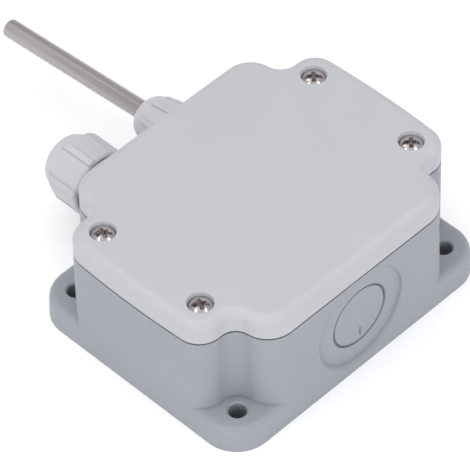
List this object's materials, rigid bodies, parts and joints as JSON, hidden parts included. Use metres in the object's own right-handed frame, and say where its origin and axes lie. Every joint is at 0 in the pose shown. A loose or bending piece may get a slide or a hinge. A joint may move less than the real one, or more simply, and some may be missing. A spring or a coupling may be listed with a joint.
{
  "type": "wall temperature transmitter",
  "caption": "Grey plastic wall box with screwed lid, corner mounting ears, a cable gland and a steel temperature probe held in a small gland.",
  "frame": {"origin": "centre of the flat back face that lies on the wall", "axes": "+Z out of the wall through the lid, +X along the long side, +Y the way both glands and the probe point"},
  "size_m": [0.1032, 0.1581, 0.0436],
  "materials": {
    "base_plastic": "fine matte",
    "lid_plastic": "fine matte",
    "gland_plastic": "satin",
    "seal_rubber": "matte",
    "brass": "turned",
    "stainless_steel": "drawn",
    "plated_steel": "bright zinc",
    "nickel_wire": "drawn",
    "resin": "cast",
    "sensor_ceramic": "fired",
    "red_insulation": "satin",
    "white_insulation": "satin",
    "board_laminate": "solder resist",
    "green_plastic": "satin",
    "black_plastic": "satin",
    "aluminium_can": "satin",
    "ferrite": "matte"
  },
  "bodies": {
    "housing": {"base": "base_plastic", "lid_inserts": "brass", "cable_gland_body": "gland_plastic", "cable_gland_seal": "seal_rubber", "cable_gland_washer": "seal_rubber", "cable_gland_locknut": "gland_plastic", "probe_gland_body": "gland_plastic", "probe_gland_seal": "seal_rubber", "probe_gland_washer": "seal_rubber", "probe_gland_locknut": "gland_plastic", "probe_tube": "stainless_steel", "probe_potting": "resin", "sensor_element": "sensor_ceramic", "sensor_wires": "nickel_wire", "probe_lead_red": "red_insulation", "probe_lead_white": "white_insulation", "circuit_board": "board_laminate", "board_screws": "plated_steel", "terminal_block": "green_plastic", "terminal_clamps": "brass", "transmitter_chip": "black_plastic", "capacitor": "aluminium_can", "choke": "ferrite", "surface_parts": "black_plastic"},
    "cover": {"lid": "lid_plastic", "lid_gasket": "seal_rubber"},
    "lid_screw_1": {"lid_screw_1": "plated_steel"},
    "lid_screw_2": {"lid_screw_2": "plated_steel"},
    "lid_screw_3": {"lid_screw_3": "plated_steel"},
    "lid_screw_4": {"lid_screw_4": "plated_steel"},
    "cable_gland_nut": {"cable_gland_nut": "gland_plastic"},
    "probe_gland_nut": {"probe_gland_nut": "gland_plastic"},
    "terminal_screw_1": {"terminal_screw_1": "plated_steel"},
    "terminal_screw_2": {"terminal_screw_2": "plated_steel"},
    "terminal_screw_3": {"terminal_screw_3": "plated_steel"},
    "terminal_screw_4": {"terminal_screw_4": "plated_steel"}
  },
  "joints": [
    {"name": "cover_lift", "type": "slide", "parent": "housing", "child": "cover", "axis": [0, 0, 1], "range_m": [0, 0.06]},
    {"name": "lid_screw_1_turn", "type": "hinge", "parent": "cover", "child": "lid_screw_1", "pos_m": [-0.0424, -0.0192, 0.04], "axis": [0, 0, 1], "continuous": true},
    {"name": "lid_screw_2_turn", "type": "hinge", "parent": "cover", "child": "lid_screw_2", "pos_m": [-0.0424, 0.0192, 0.04], "axis": [0, 0, 1], "continuous": true},
    {"name": "lid_screw_3_turn", "type": "hinge", "parent": "cover", "child": "lid_screw_3", "pos_m": [0.0424, -0.0192, 0.04], "axis": [0, 0, 1], "continuous": true},
    {"name": "lid_screw_4_turn", "type": "hinge", "parent": "cover", "child": "lid_screw_4", "pos_m": [0.0424, 0.0192, 0.04], "axis": [0, 0, 1], "continuous": true},
    {"name": "cable_gland_nut_turn", "type": "hinge", "parent": "housing", "child": "cable_gland_nut", "pos_m": [-0.016, 0.055, 0.0209], "axis": [0, 1, 0], "continuous": true},
    {"name": "probe_gland_nut_turn", "type": "hinge", "parent": "housing", "child": "probe_gland_nut", "pos_m": [0.0132, 0.055, 0.0209], "axis": [0, 1, 0], "continuous": true},
    {"name": "terminal_screw_1_turn", "type": "hinge", "parent": "housing", "child": "terminal_screw_1", "pos_m": [-0.00762, 0.0114, 0.0175], "axis": [0, 0, 1], "continuous": true},
    {"name": "terminal_screw_2_turn", "type": "hinge", "parent": "housing", "child": "terminal_screw_2", "pos_m": [-0.00254, 0.0114, 0.0175], "axis": [0, 0, 1], "continuous": true},
    {"name": "terminal_screw_3_turn", "type": "hinge", "parent": "housing", "child": "terminal_screw_3", "pos_m": [0.00254, 0.0114, 0.0175], "axis": [0, 0, 1], "continuous": true},
    {"name": "terminal_screw_4_turn", "type": "hinge", "parent": "housing", "child": "terminal_screw_4", "pos_m": [0.00762, 0.0114, 0.0175], "axis": [0, 0, 1], "continuous": true}
  ]
}
